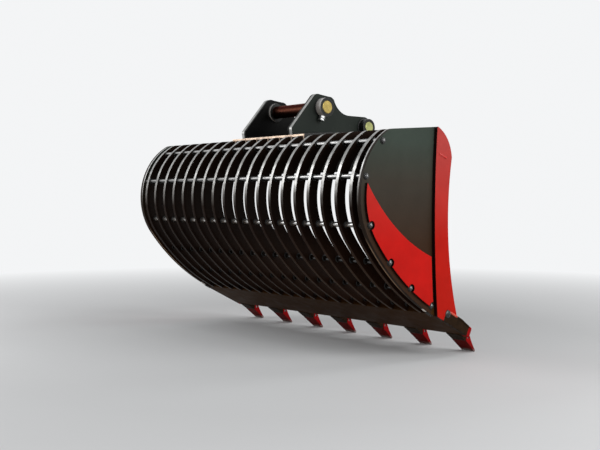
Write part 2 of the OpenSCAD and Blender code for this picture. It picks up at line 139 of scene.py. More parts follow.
# Painted shade on the boss end faces and a painted highlight on the sides round the dipper pin
BOSS_END_SHADE = (0.012, 0.013, 0.012)
BOSS_SIDE_HIGHLIGHT = (0.88, 0.86, 0.84)
PIN_SHAFT = (0.040, 0.013, 0.009)
PIN_GLANCE = (0.55, 0.34, 0.22)
ZINC_YELLOW = (0.54, 0.41, 0.13)
ZINC_GREEN = (0.49, 0.51, 0.21)
ZINC_BRIGHT = (0.70, 0.71, 0.70)
UNTINTED = (1.0, 1.0, 1.0)

# Colours of beads and plugs, and what shows deep in their patches
BLACK_BEAD = ((0.014, 0.013, 0.013), (0.008, 0.008, 0.008))
# The warm weld colour is a painted warm highlight on the beads at the base plate
WARM_HIGHLIGHT_BEAD = (WARM_HIGHLIGHT_STEEL, (0.30, 0.22, 0.17))
# The cream weld colour is a painted glint at the lip's corners
GLINT_BEAD = ((0.88, 0.82, 0.75), (0.55, 0.52, 0.48))
# The bright orange-red bead colour is a painted highlight with a painted reflection of the red cutter
LEG_GLINT_BEAD = ((0.72, 0.13, 0.08), (0.40, 0.05, 0.03))
PLUG = ((0.060, 0.060, 0.058), (0.030, 0.030, 0.028))
BROWN_BEAD = ((0.030, 0.021, 0.015), (0.016, 0.010, 0.007))

# Where finishes and painted light change along an axis or along the lip, from none to full, in metres
# Spans of the side plates' painted cool light and painted warm reflection
SIDE_COOL_LIGHT_Z = (-0.27, -0.14)
SIDE_WARM_REFLECTION_Z = (-0.29, -0.47)
# Span of the painted highlight along the side plates' edge
SIDE_HIGHLIGHT_Z = (-0.34, -0.22)
SIDE_INNER_X = (0.5915, 0.5890)
# Span of the painted golden highlight low on the side plate's edge
LOW_HIGHLIGHT_START_Z = (-0.43, -0.47)
LOW_HIGHLIGHT_STOP_Z = (-0.63, -0.58)
# Span of the painted sheen on the red plates
RED_SHEEN_Z = (-0.45, -0.15)
TOOTH_TIP_Z = (-0.775, -0.825)
TOOTH_EDGE_Z = (-0.820, -0.830)
# Spans of the painted glow and bronze highlight on the ribs, on the lit side towards +X
RIB_LIT_SIDE_X = (-0.40, 0.30)
RIB_GLOW_Z = (-0.36, -0.48)
RIB_HIGHLIGHT_Z = (-0.44, -0.56)
# Span of the ribs' rubbed edges, kept to where they double as a painted highlight
RIB_WEAR_HIGHLIGHT_Z = (-0.345, -0.235)
# Spans of the painted highlights on the rods
ROD_HIGH_Z = (-0.47, -0.40)
ROD_THIRD_Z = (-0.30, -0.36)
ROD_BETWEEN_X = (0.597, 0.595)
EAR_OUTER_X = (0.1225, 0.1255)
BASE_PROUD_Z = (-0.1095, -0.1075)
# Where the bosses' painted highlight shows
BOSS_DIPPER_Y = (0.12, 0.08)
PIN_LINK_Y = (0.05, 0.15)
PIN_END_X = (0.155, 0.158)
LEG_FRONT_U = (0.187, 0.190)
LEG_OUTER_X = (0.590, 0.593)

# Which way a face looks, as one component of its normal, from none to full
NARROW_X = (0.6, 0.3)
INWARD_SHADE_X = (0.1, -0.1)
# Which back-looking edges of the red plates get the painted shade
RED_EDGE_SHADE_Y = (0.25, -0.05)
# Which downward faces of the teeth get the painted shade
TOOTH_UNDER_SHADE_Z = (-0.15, -0.45)
# Which ear edges get the painted highlight, looking back or up
EAR_BACK_Y = (-0.15, -0.45)
EAR_TOP_Z = (0.80, 0.98, 0.0, 0.35)
BASE_BACK_Y = (-0.7, -0.9)
ROD_HIGHLIGHT_TOP_Z = (0.10, 0.45)

# Noise as scale, detail, roughness and stretch, and the range of its values that counts
EVEN = (0.3, 0.7)
CLOUD_DETAIL = 5.0
GRAIN = (160.0, 6.0, 0.7)
GRAIN_USED = (0.42, 0.62)
SCRATCH = (60.0, 3.0, 0.7, (1.0, 1.0, 9.0))
SCRATCH_USED = (0.66, 0.74, 0.0, 0.25)
SMEAR = (24.0, 5.0)
STREAK = (45.0, 5.0, 0.65)
STREAK_USED = (0.3, 0.6, 0.55, 1.0)
PEEL = (420.0, 2.0)
TOOTH_WORN = (70.0,)
TOOTH_WORN_USED = (0.35, 0.6)
PITS = (120.0, 6.0, 0.7)
CAST_RUB = (90.0, 5.0)
CAST_RUB_USED = (0.4, 0.62, 0.0, 0.7)
HEAT = (70.0, 4.0)
HEAT_USED = (0.35, 0.65)
BEAD_SKIN = (140.0, 4.0)
BEAD_FINE = (600.0, 3.0)

# Lathe lines as detail, roughness and stretch, because each plated finish gives its own scale
LATHE = (2.0, 0.5, (40.0, 1.0, 1.0))

# Clouds as scale and lowest share of the colour, spread of roughness, bump as strength and depth
PAINT_CLOUDS = (9.0, 0.80)
PLATE_CLOUDS = (45.0, 0.70)
CAST_CLOUDS = (60.0, 0.6)
FLOOR_CLOUDS = (0.8, 0.97)
PAINT_SPREAD = (0.07, 0.09)
PLATE_SPREAD = (0.06, 0.1)
CAST_SPREAD = (0.08, 0.12)
WELD_SPREAD = (0.06, 0.1)
PEEL_BUMP = (0.06, 0.0006)
LATHE_BUMP = (0.12, 0.0003)
PITS_BUMP = (0.25, 0.0012)
BEAD_BUMP = (0.10, 0.0003)

# Rounded edges, and how metallic and shiny the finishes are
EDGE_SAMPLES = 4
EDGE_LEAN = (0.995, 0.80)
PAINT_EDGE = 0.0022
PLATE_EDGE = 0.001
CAST_EDGE = 0.006
RUBBED_ROUGHER = 0.12
BARE_METAL = 0.8
PLATE_METAL = 0.9
CAST_METAL = 0.6
PLATE_SHINE = 0.5
WELD_SHINE = 0.3


def make_camera():
    data = bpy.data.cameras.new("camera")
    data.sensor_width = SENSOR
    data.sensor_fit = "HORIZONTAL"
    data.lens = FOCAL_PX / IMAGE_W * SENSOR
    cam = bpy.data.objects.new("camera", data)
    scene.collection.objects.link(cam)
    back = -CAM_FORWARD.normalized()
    right = CAM_RIGHT.normalized()
    up = back.cross(right)
    turn = Matrix((right, up, back)).transposed().to_4x4()
    cam.matrix_world = Matrix.Translation(CAM_AT) @ turn
    scene.camera = cam


# Materials


class Nodes:
    """A material's node tree with short calls to add and join nodes."""

    def __init__(self, name, shine):
        self.mat = bpy.data.materials.new(name)
        self.mat.use_nodes = True
        self.tree = self.mat.node_tree
        self.shader = self.tree.nodes["Principled BSDF"]
        self.shader.inputs["Specular IOR Level"].default_value = shine
        self.kept = {}

    def add(self, kind, **values):
        """A new node, with its settings and its inputs given by name."""
        node = self.tree.nodes.new(kind)
        for key, value in values.items():
            if hasattr(node, key):
                setattr(node, key, value)
            else:
                node.inputs[key].default_value = value
        return node

    def link(self, out, into):
        self.tree.links.new(out, into)

    def give(self, out, name):
        """Joins an output to an input of the shader."""
        self.link(out, self.shader.inputs[name])

    def place(self):
        """The place on the part, in metres."""
        if "place" not in self.kept:
            self.kept["place"] = self.add("ShaderNodeTexCoord").outputs["Object"]
        return self.kept["place"]

    def axis(self, name):
        """One coordinate of the place on the part."""
        if "axes" not in self.kept:
            self.kept["axes"] = self.add("ShaderNodeSeparateXYZ")
            self.link(self.place(), self.kept["axes"].inputs["Vector"])
        return self.kept["axes"].outputs[name]

    def facing(self, name):
        """One component of the face's normal."""
        if "faces" not in self.kept:
            geometry = self.add("ShaderNodeNewGeometry")
            self.kept["faces"] = self.add("ShaderNodeSeparateXYZ")
            self.link(geometry.outputs["Normal"], self.kept["faces"].inputs["Vector"])
        return self.kept["faces"].outputs[name]

    def noise(self, scale, detail=4.0, roughness=0.6, stretch=None):
        where = self.place()
        if stretch:
            mapping = self.add("ShaderNodeMapping", Scale=stretch)
            self.link(where, mapping.inputs["Vector"])
            where = mapping.outputs["Vector"]
        node = self.add("ShaderNodeTexNoise", Scale=scale, Detail=detail, Roughness=roughness)
        self.link(where, node.inputs["Vector"])
        return node.outputs["Fac"]

    def remap(self, value, low, high, to_low=0.0, to_high=1.0):
        """The value's stretch from low to high laid over another stretch, and held at its ends."""
        node = self.add("ShaderNodeMapRange")
        node.inputs["From Min"].default_value = low
        node.inputs["From Max"].default_value = high
        node.inputs["To Min"].default_value = to_low
        node.inputs["To Max"].default_value = to_high
        self.link(value, node.inputs["Value"])
        return node.outputs["Result"]

    def math(self, operation, a, b):
        node = self.add("ShaderNodeMath", operation=operation)
        for i, value in enumerate((a, b)):
            if isinstance(value, (int, float)):
                node.inputs[i].default_value = value
            else:
                self.link(value, node.inputs[i])
        return node.outputs[0]

    def times(self, first, *rest):
        for value in rest:
            first = self.math("MULTIPLY", first, value)
        return first

    def along(self, name, span):
        """0 to 1 over a span of one coordinate."""
        return self.remap(self.axis(name), *span)

    def apart(self, span):
        """0 to 1 over a span of the distance from the bucket's middle plane."""
        return self.remap(self.math("ABSOLUTE", self.axis("X"), 0.0), *span)

    def looks(self, name, span):
        """0 to 1 over a span of one component of the face's normal."""
        return self.remap(self.facing(name), *span)

    def narrow(self):
        """1 on the thin edges of a plate that stands across the width, 0 on its broad faces."""
        return self.remap(self.math("ABSOLUTE", self.facing("X"), 0.0), *NARROW_X)

    def mix(self, fac, a, b, blend="MIX"):
        node = self.add("ShaderNodeMix", data_type="RGBA", blend_type=blend)
        self.link(fac, node.inputs["Factor"])
        sockets = [s for s in node.inputs if s.type == "RGBA"]
        for socket, value in zip(sockets, (a, b)):
            if isinstance(value, tuple):
                socket.default_value = value + (1.0,)
            else:
                self.link(value, socket)
        return next(s for s in node.outputs if s.type == "RGBA")

    def mottle(self, colour, scale, low):
        """The colour with clouds in it, down to a share of itself."""
        clouds = self.remap(self.noise(scale, CLOUD_DETAIL), *EVEN)
        return self.mix(clouds, colour, (low, low, low), "MULTIPLY")

    def uneven(self, value, rough, spread):
        """Roughness that wanders a little below and above its middle value."""
        less, more = spread
        return self.remap(value, *EVEN, rough - less, rough + more)

    def edges(self, radius):
        """1 along sharp edges, 0 on flat faces, from how far a rounded normal leans."""
        bevel = self.add("ShaderNodeBevel", samples=EDGE_SAMPLES, Radius=radius)
        geometry = self.add("ShaderNodeNewGeometry")
        dot = self.add("ShaderNodeVectorMath", operation="DOT_PRODUCT")
        self.link(bevel.outputs["Normal"], dot.inputs[0])
        self.link(geometry.outputs["Normal"], dot.inputs[1])
        self.kept["rounded"] = bevel.outputs["Normal"]
        return self.remap(dot.outputs["Value"], *EDGE_LEAN)

    def bump(self, height, strength, distance):
        node = self.add("ShaderNodeBump", Strength=strength, Distance=distance)
        self.link(height, node.inputs["Height"])
        if "rounded" in self.kept:
            self.link(self.kept["rounded"], node.inputs["Normal"])
        self.give(node.outputs["Normal"], "Normal")


def paint(name, tint, worn, rough, wear, shine, bare_or_highlight=None):
    """Sprayed paint: clouds, orange peel, edges rubbed through and, where the last argument says, bright
    metal that is worn steel on some parts and a painted highlight on others.
    """
    n = Nodes(name, shine)
    body = n.mottle(tint(n), *PAINT_CLOUDS)
    grain = n.remap(n.noise(*GRAIN), *GRAIN_USED)
    scratch = n.remap(n.noise(*SCRATCH), *SCRATCH_USED)
    rub = n.math("MAXIMUM", n.times(n.edges(PAINT_EDGE), grain, wear), n.times(scratch, wear))
    body = n.mix(rub, body, worn)
    if bare_or_highlight:
        metal, mask = bare_or_highlight(n)
        mask = n.times(mask, n.remap(n.noise(*STREAK), *STREAK_USED))
        body = n.mix(mask, body, metal)
        n.give(n.times(mask, BARE_METAL), "Metallic")
    n.give(body, "Base Color")
    smear = n.uneven(n.noise(*SMEAR), rough, PAINT_SPREAD)
    n.give(n.math("ADD", smear, n.times(rub, RUBBED_ROUGHER)), "Roughness")
    n.bump(n.noise(*PEEL), *PEEL_BUMP)
    return n.mat


def plated(name, tint, rough, lines, edge=UNTINTED):
    """Turned steel with a thin coat: uneven tint and fine lathe lines round the axis."""
    n = Nodes(name, PLATE_SHINE)
    n.shader.inputs["Metallic"].default_value = PLATE_METAL
    n.shader.inputs["Specular Tint"].default_value = edge + (1.0,)
    n.give(n.mottle(tint(n), *PLATE_CLOUDS), "Base Color")
    turned = n.noise(lines, *LATHE)
    n.give(n.uneven(turned, rough, PLATE_SPREAD), "Roughness")
    n.edges(PLATE_EDGE)
    n.bump(turned, *LATHE_BUMP)
    return n.mat


def cast(name, tint, worn, rough, shine):
    """Rough casting with a dull scale and rubbed corners."""
    n = Nodes(name, shine)
    pits = n.noise(*PITS)
    body = n.mottle(tint(n), *CAST_CLOUDS)
    rub = n.times(n.edges(CAST_EDGE), n.remap(n.noise(*CAST_RUB), *CAST_RUB_USED))
    n.give(n.mix(rub, body, worn), "Base Color")
    n.give(n.times(rub, CAST_METAL), "Metallic")
    n.give(n.uneven(pits, rough, CAST_SPREAD), "Roughness")
    n.bump(pits, *PITS_BUMP)
    return n.mat


def weld(name, colour, deep, metal, rough):
    """A weld bead: heat tint in patches and a fine skin over the ripples of its mesh."""
    n = Nodes(name, WELD_SHINE)
    n.shader.inputs["Metallic"].default_value = metal
    n.give(n.mix(n.remap(n.noise(*HEAT), *HEAT_USED), deep, colour), "Base Color")
    n.give(n.uneven(n.noise(*BEAD_SKIN), rough, WELD_SPREAD), "Roughness")
    n.bump(n.noise(*BEAD_FINE), *BEAD_BUMP)
    return n.mat


# Tints, which give a colour, some with painted light in it, and bare places, which give a metal and where
# it shows, as worn steel or as a painted highlight


def plain(colour):
    return lambda n: colour


def inner_corner(n):
    """1 on the strip of a side plate's edge next to its inner face."""
    return n.times(n.narrow(), n.apart(SIDE_INNER_X))


def side_tint(n):
    """Charcoal, with painted cool light at the top and a painted warm reflection low down, and a painted
    golden highlight low on the inner corner of the edge.
    """
    upper = n.mix(n.along("Z", SIDE_COOL_LIGHT_Z), SIDE_MIDDLE, SIDE_TOP_COOL_LIGHT)
    body = n.mix(n.along("Z", SIDE_WARM_REFLECTION_Z), upper, SIDE_BOTTOM_WARM_REFLECTION)
    body = n.mix(n.narrow(), body, SIDE_EDGE)
    # Painted golden highlight low on the inner corner of the edge
    low = n.times(n.along("Z", LOW_HIGHLIGHT_START_Z), n.along("Z", LOW_HIGHLIGHT_STOP_Z))
    return n.mix(n.times(inner_corner(n), low), body, LOW_EDGE_HIGHLIGHT)


def side_highlight(n):
    """A painted highlight: a bright line along the inner corner of the plate's rolled edge, near the top.
    """
    return HIGHLIGHT_STEEL, n.times(inner_corner(n), n.along("Z", SIDE_HIGHLIGHT_Z))


def red_tint(low, high):
    """Red on the broad faces, paler higher up as a painted sheen, and nearly black on the edges that look
    back as a painted shade.
    """

    def tint(n):
        face = n.mix(n.along("Z", RED_SHEEN_Z), low, high)
        # Painted shade on the narrow edges that look back
        return n.mix(n.times(n.narrow(), n.looks("Y", RED_EDGE_SHADE_Y)), face, RED_EDGE_SHADE)

    return tint


def tooth_tint(n):
    """Red sides and top that darken to the tip, and a dark underside that is a painted shade."""
    side = n.mix(n.along("Z", TOOTH_TIP_Z), TOOTH_RED, TOOTH_TIP)
    return n.mix(n.looks("Z", TOOTH_UNDER_SHADE_Z), side, TOOTH_UNDER_SHADE)


def tooth_bare(n):
    """Worn steel along the cutting edge."""
    worn = n.remap(n.noise(*TOOTH_WORN), *TOOTH_WORN_USED)
    return STEEL, n.times(n.along("Z", TOOTH_EDGE_Z), worn)


def ear_tint(n):
    """Greenish grey outside, and nearly black on the faces that look at each other, a painted shade between
    the ears.
    """
    outward = n.times(n.facing("X"), n.math("SIGN", n.axis("X"), 0.0))
    return n.mix(n.remap(outward, *INWARD_SHADE_X), EAR_OUTSIDE, EAR_INSIDE_SHADE)


def ear_edge_highlight(n):
    """Bright steel on the edges where the ears look back and up, on the outer part of their thickness: a
    painted highlight.
    """
    edge = n.math("MAXIMUM", n.looks("Y", EAR_BACK_Y), n.looks("Z", EAR_TOP_Z))
    return STEEL, n.times(n.narrow(), edge, n.apart(EAR_OUTER_X))


def base_back_highlight(n):
    """A painted warm highlight of bright warm steel on the strip of the base plate's back face that stands
    above the ribs.
    """
    return WARM_HIGHLIGHT_STEEL, n.times(n.looks("Y", BASE_BACK_Y), n.along("Z", BASE_PROUD_Z))


def rib_tint(n):
    """Brown black, with a painted warm glow of bounce light on the belly towards +X, where its edges carry
    a painted bronze highlight.
    """
    near = n.along("X", RIB_LIT_SIDE_X)
    face = n.mix(n.times(n.along("Z", RIB_GLOW_Z), near), RIB_BROWN, RIB_BELLY_GLOW)
    return n.mix(n.times(n.narrow(), n.along("Z", RIB_HIGHLIGHT_Z), near), face, RIB_BRONZE_HIGHLIGHT)


def rib_wear_and_highlight(n):
    """Rubbed bright along the outer edge as edge wear, kept from the top down to the fullest part of the
    back, where it also stands in for a painted highlight.
    """
    return STEEL, n.times(n.narrow(), n.along("Z", RIB_WEAR_HIGHLIGHT_Z))


def rod_highlight(n):
    """Bright steel on top of the first two rods and round the third, between the side plates: a painted
    highlight.
    """
    # Painted highlight strip: the tops of the first two rods and all round the third
    rubbed = n.math("MAXIMUM", n.looks("Z", ROD_HIGHLIGHT_TOP_Z), n.along("Z", ROD_THIRD_Z))
    return HIGHLIGHT_STEEL, n.times(n.along("Z", ROD_HIGH_Z), n.apart(ROD_BETWEEN_X), rubbed)


def boss_tint(n):
    """Dark end faces as a painted shade, and turned sides with a painted highlight round the dipper pin
    only.
    """
    return n.mix(n.times(n.narrow(), n.along("Y", BOSS_DIPPER_Y)), BOSS_END_SHADE, BOSS_SIDE_HIGHLIGHT)


def pin_tint(n):
    """Dark bronze along the bearing length, and zinc at the ends that is greener on the link pin."""
    zinc = n.mix(n.along("Y", PIN_LINK_Y), ZINC_YELLOW, ZINC_GREEN)
    return n.mix(n.apart(PIN_END_X), PIN_SHAFT, zinc)


def adapter_tint(n):
    """Dark brown scale, with the tooth's red carried over the front of the corner adapters' legs."""
    across = n.times(n.axis("Y"), math.cos(LIP_SLOPE))
    along = n.math("SUBTRACT", across, n.times(n.axis("Z"), math.sin(LIP_SLOPE)))
    start = LIP_AT[0] * math.cos(LIP_SLOPE) - LIP_AT[1] * math.sin(LIP_SLOPE)
    front = n.remap(along, *[start + u for u in LEG_FRONT_U])
    return n.mix(n.times(front, n.apart(LEG_OUTER_X)), ADAPTER_BROWN, TOOTH_RED)


wear_tint = red_tint(WEAR_LOW, WEAR_HIGH_SHEEN)
cutter_tint = red_tint(CUTTER_LOW, CUTTER_HIGH_SHEEN)

side_grey = paint("side_charcoal", side_tint, DULL_STEEL, rough=0.42, wear=0.5, shine=0.06, bare_or_highlight=side_highlight)
wear_red = paint("wear_red", wear_tint, RED_WORN, rough=0.45, wear=0.5, shine=0.06)
cutter_red = paint("cutter_red", cutter_tint, RED_WORN, rough=0.45, wear=0.5, shine=0.06)
mark_red = paint("mark_red", plain(MARK_RED), MARK_WORN, rough=0.35, wear=0.5, shine=0.3)
tooth_red = paint("tooth_red", tooth_tint, DULL_STEEL, rough=0.48, wear=0.7, shine=0.03, bare_or_highlight=tooth_bare)
rib_black = paint("rib_gloss_black", rib_tint, DULL_STEEL, rough=0.30, wear=0.25, shine=0.04, bare_or_highlight=rib_wear_and_highlight)
rod_grey = paint("rod_steel", plain(ROD_BLACK), STEEL, rough=0.15, wear=0.3, shine=1.0, bare_or_highlight=rod_highlight)
lip_brown = paint("lip_bronze", plain(LIP_BROWN), DULL_STEEL, rough=0.50, wear=0.5, shine=0.03)
hitch_grey = paint("hitch_grey", ear_tint, STEEL, rough=0.40, wear=0.5, shine=0.08, bare_or_highlight=ear_edge_highlight)
base_grey = paint("base_grey", plain(BASE_GREY), STEEL, rough=0.40, wear=0.5, shine=0.25, bare_or_highlight=base_back_highlight)
boss_steel = paint("boss_steel", boss_tint, STEEL, rough=0.34, wear=0.4, shine=0.25)
adapter_iron = cast("adapter_casting", adapter_tint, DULL_STEEL, rough=0.50, shine=0.04)
pin_plate = plated("pin_plate", pin_tint, rough=0.24, lines=60.0, edge=PIN_GLANCE)
bright_zinc = plated("bright_zinc", plain(ZINC_BRIGHT), rough=0.30, lines=90.0)
pin_steel = plated("tooth_pin_steel", plain(TOOTH_PIN_GREY), rough=0.42, lines=90.0)
black_weld = weld("painted_weld", *BLACK_BEAD, metal=0.0, rough=0.36)
warm_highlight_weld = weld("warm_highlight_weld", *WARM_HIGHLIGHT_BEAD, metal=0.8, rough=0.34)
bright_weld = weld("painted_glint_weld", *GLINT_BEAD, metal=0.8, rough=0.30)
leg_glint_weld = weld("leg_glint_weld", *LEG_GLINT_BEAD, metal=0.4, rough=0.34)
plug_steel = weld("plug_steel", *PLUG, metal=0.5, rough=0.24)
brown_weld = weld("lip_weld", *BROWN_BEAD, metal=0.2, rough=0.42)

# The first of these words that a node's name contains gives its material
LOOK = {
    "side_plate": side_grey,
    "wear_plate": wear_red,
    "side_cutter": cutter_red,
    "rib_": rib_black,
    "cross_rod": rod_grey,
    "cutting_lip": lip_brown,
    "adapter": adapter_iron,
    "tooth_pins": pin_steel,
    "tooth_": tooth_red,
    "top_beam": base_grey,
    "base_plate": base_grey,
    "ear": hitch_grey,
    "boss": boss_steel,
    "_pin": pin_plate,
    "set_bolts": bright_zinc,
    "lock_nuts": bright_zinc,
}


def dress():
    for name, obj in nodes.items():
        material = next(m for key, m in LOOK.items() if key in name)
        obj.data.materials.clear()
        obj.data.materials.append(material)


# Weld beads, rounded edges, plugs and marks, laid on the solids

Run = namedtuple("Run", "size wave step")

ACROSS = Vector((1.0, 0.0, 0.0))
FORWARD = Vector((0.0, 1.0, 0.0))
BEAD_SIDES = 8
BEAD_TIP = 0.3
RIPPLE = 0.14
SMOOTH = 10.0
LEG_ROUND = 0.0045

# Beads along a line: radius, length of a ripple and step between points
BASE_RUN = Run(0.0032, 0.004, 0.001)
FOOT_RUN = Run(0.0045, 0.006, 0.0014)
STRAP_RUN = Run(0.0042, 0.006, 0.0014)
TAIL_RUN = Run(0.0032, 0.006, 0.0015)
SHELL_RUN = Run(0.0045, 0.006, 0.0015)
GLINT_RUN = Run(0.0050, 0.007, 0.0015)
END_RUN = Run(0.0062, 0.007, 0.0015)
MARK_RUN = Run(0.0026, 0.005, 0.0012)
LEG_RUN = Run(LEG_ROUND, 0.006, 0.0014)
ROUND_RUN = Run(LEG_ROUND, SMOOTH, 0.002)

# Beads round a circle: radius, ripples or their length, and points
ROD_BEAD = 0.003
ROD_RIPPLES = 6
ROD_POINTS = 18
ROD_END_RIPPLES = 12
ROD_END_POINTS = 36
BOSS_BEAD = 0.0035
BOSS_WAVE = 0.0075
BOSS_POINTS = 110

# Where the beads, plugs and marks lie: along the lip and above its underside, or as Y and Z
FOOT_MARGIN = 0.004
TAIL_START = 0.002
SHELL_STOP = 0.008
GLINT_SEAM = ((-0.038, 0.003), (-0.014, 0.002))
END_SEAM = ((-0.018, 0.001), (0.0, 0.001), (0.018, 0.001))
MARK_LINE = ((0.057, -0.177), (0.096, -0.190))
LEG_FOOT_H = 0.004
LEG_INSET = 0.002
LEG_SEAM_U = (0.074, 0.118)
LEG_ROUND_U = 0.116
PLUG_AT = (0.066, 0.027)
PLUG_R = 0.013
PLUG_RISE = 0.005
DOME_SINK = 0.001
DOME_STEPS = 6
DOME_POINTS = 28


def on_lip(x, u, n):
    """A point u along the lip's underside and n above it."""
    y = LIP_AT[0] + u * math.cos(LIP_SLOPE) + n * math.sin(LIP_SLOPE)
    z = LIP_AT[1] - u * math.sin(LIP_SLOPE) + n * math.cos(LIP_SLOPE)
    return Vector((x, y, z))


def on_top(x, s, h):
    """A point s forward along the top edge and h above it."""
    y = s * math.cos(TOP_SLOPE) - h * math.sin(TOP_SLOPE)
    z = TOP_Z + s * math.sin(TOP_SLOPE) + h * math.cos(TOP_SLOPE)
    return Vector((x, y, z))


def trail(corners, step):
    """Points at an even step along a broken line."""
    points = [corners[0]]
    for a, b in zip(corners, corners[1:]):
        count = max(1, round((b - a).length / step))
        points += [a.lerp(b, (i + 1) / count) for i in range(count)]
    return points


def hoop(x, y, z, radius, count):
    """A closed ring of points about an axis along X."""
    turn = 2.0 * math.pi / count
    spokes = [(math.cos(turn * i), math.sin(turn * i)) for i in range(count)]
    return [Vector((x, y + radius * c, z + radius * s)) for c, s in spokes]


def skin(bm, first, second):
    """Faces between two rings of as many points."""
    count = len(first)
    for k in range(count):
        m = (k + 1) % count
        bm.faces.new((first[k], first[m], second[m], second[k]))


def bead(bm, path, up, size, wave, closed=False):
    """A rippled round bead along a path, half of it sunk into the corner that it fills."""
    lengths = [0.0]
    for a, b in zip(path, path[1:]):
        lengths.append(lengths[-1] + (b - a).length)
    whole = lengths[-1]
    last = len(path) - 1
    rings = []
    for i, point in enumerate(path):
        before = path[i - 1] if closed else path[max(i - 1, 0)]
        after = path[(i + 1) % len(path)] if closed else path[min(i + 1, last)]
        along = (after - before).normalized()
        side = along.cross(up).normalized()
        rise = side.cross(along)
        radius = size * (1.0 + RIPPLE * math.sin(2.0 * math.pi * lengths[i] / wave))
        if not closed:
            end = min(lengths[i], whole - lengths[i], size) / size
            radius *= max(BEAD_TIP, math.sqrt(1.0 - (1.0 - end) ** 2))
        ring = []
        for k in range(BEAD_SIDES):
            a = 2.0 * math.pi * k / BEAD_SIDES
            ring.append(bm.verts.new(point + radius * (math.cos(a) * side + math.sin(a) * rise)))
        rings.append(ring)
    pairs = list(zip(rings, rings[1:]))
    if closed:
        pairs.append((rings[-1], rings[0]))
    else:
        bm.faces.new(rings[0])
        bm.faces.new(rings[-1])
    for first, second in pairs:
        skin(bm, first, second)


def lay(bm, corners, run, up=ACROSS):
    """A bead along a broken line."""
    bead(bm, trail(corners, run.step), up, run.size, run.wave)


def dome(bm, at, outward):
    """A low round plug on a face that looks along X, with its rim sunk a little below the face."""
    rim = [Vector((-DOME_SINK * outward, PLUG_R))]
    for i in range(DOME_STEPS):
        a = 0.5 * math.pi * i / DOME_STEPS
        rim.append(Vector((PLUG_RISE * math.sin(a) * outward, PLUG_R * math.cos(a))))
    rings = []
    for lift, wide in rim:
        rings.append([bm.verts.new(p) for p in hoop(at.x + lift, at.y, at.z, wide, DOME_POINTS)])
    crown = bm.verts.new(at + ACROSS * PLUG_RISE * outward)
    bm.faces.new(rings[0])
    for first, second in zip(rings, rings[1:]):
        skin(bm, first, second)
    for k in range(DOME_POINTS):
        bm.faces.new((rings[-1][k], rings[-1][(k + 1) % DOME_POINTS], crown))


def add_piece(name, bm, material):
    bmesh.ops.recalc_face_normals(bm, faces=bm.faces)
    for face in bm.faces:
        face.smooth = True
    mesh = bpy.data.meshes.new(name)
    bm.to_mesh(mesh)
    bm.free()
    mesh.materials.append(material)
    obj = bpy.data.objects.new(name, mesh)
    scene.collection.objects.link(obj)
    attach(obj, "bucket")


def rib_x(i):
    return (i - (RIB_N - 1) / 2) * RIB_PITCH


def rib_faces():
    """The places across the width of both faces of every rib."""
    return [rib_x(i) + s * RIB_T / 2 for i in range(RIB_N) for s in SIDES]


def rod_places():
    """Y and Z of each rod's axis."""
    for i in range(ROD_N):
        low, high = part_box("cross_rod_%d" % (i + 1))
        yield (low[1] + high[1]) / 2, (low[2] + high[2]) / 2


def weld_rods():
    inside = bmesh.new()
    outside = bmesh.new()
    around = 2.0 * math.pi * ROD_R
    for y, z in rod_places():
        for x in rib_faces() + [-SHELL_X, SHELL_X]:
            ring = hoop(x, y, z, ROD_R, ROD_POINTS)
            bead(inside, ring, ACROSS, ROD_BEAD, around / ROD_RIPPLES, closed=True)
        for x in (-SIDE_X, SIDE_X):
            ring = hoop(x, y, z, ROD_R, ROD_END_POINTS)
            bead(outside, ring, ACROSS, ROD_BEAD, around / ROD_END_RIPPLES, closed=True)
    add_piece("rod_welds", inside, black_weld)
    add_piece("rod_end_welds", outside, black_weld)


def weld_base():
    bm = bmesh.new()
    for i in BASE_RIBS:
        left = rib_x(i) - RIB_T / 2
        right = rib_x(i) + RIB_T / 2
        corners = [
            on_top(left, BASE_BACK, BASE_DOWN),
            on_top(left, BASE_BACK, 0.0),
            on_top(right, BASE_BACK, 0.0),
            on_top(right, BASE_BACK, BASE_DOWN),
        ]
        lay(bm, corners, BASE_RUN, FORWARD)
    # These beads carry the painted warm highlight
    add_piece("base_plate_welds", bm, warm_highlight_weld)


def weld_ears():
    feet = bmesh.new()
    rings = bmesh.new()
    for side in SIDES:
        for s in SIDES:
            x = side * EAR_X + s * EAR_T / 2
            back = on_top(x, BASE_BACK + FOOT_MARGIN, BASE_UP)
            front = on_top(x, BASE_FRONT - FOOT_MARGIN, BASE_UP)
            lay(feet, [back, front], FOOT_RUN)
            for y, z, radius in BOSSES:
                ring = hoop(x, y, z, radius, BOSS_POINTS)
                bead(rings, ring, ACROSS, BOSS_BEAD, BOSS_WAVE, closed=True)
    add_piece("ear_foot_welds", feet, black_weld)
    add_piece("boss_welds", rings, black_weld)


def weld_straps():
    bm = bmesh.new()
    up = on_lip(0.0, 0.0, 1.0) - on_lip(0.0, 0.0, 0.0)
    half = ADAPTER_W / 2
    back = LIP_L - STRAP_L
    fore = LIP_L - LIP_BEVEL
    for i in range(TOOTH_N):
        x = TOOTH_X * (1.0 - 2.0 * i / (TOOTH_N - 1))
        corners = []
        for edge in (x - half, x + half):
            arm = [on_lip(edge, LIP_L, LIP_NOSE), on_lip(edge, fore, LIP_T), on_lip(edge, back, LIP_T)]
            corners += arm if edge < x else arm[::-1]
        lay(bm, corners, STRAP_RUN, up)
    add_piece("strap_welds", bm, brown_weld)


def weld_tails():
    bm = bmesh.new()
    for x in rib_faces():
        lay(bm, [on_lip(x, TAIL_START, LIP_T), on_lip(x, TAIL_L, LIP_T)], TAIL_RUN)
    for x in (-SHELL_X, SHELL_X):
        stop = LIP_L - STRAP_L - SHELL_STOP
        lay(bm, [on_lip(x, TAIL_START, LIP_T), on_lip(x, stop, LIP_T)], SHELL_RUN)
    add_piece("tail_welds", bm, black_weld)


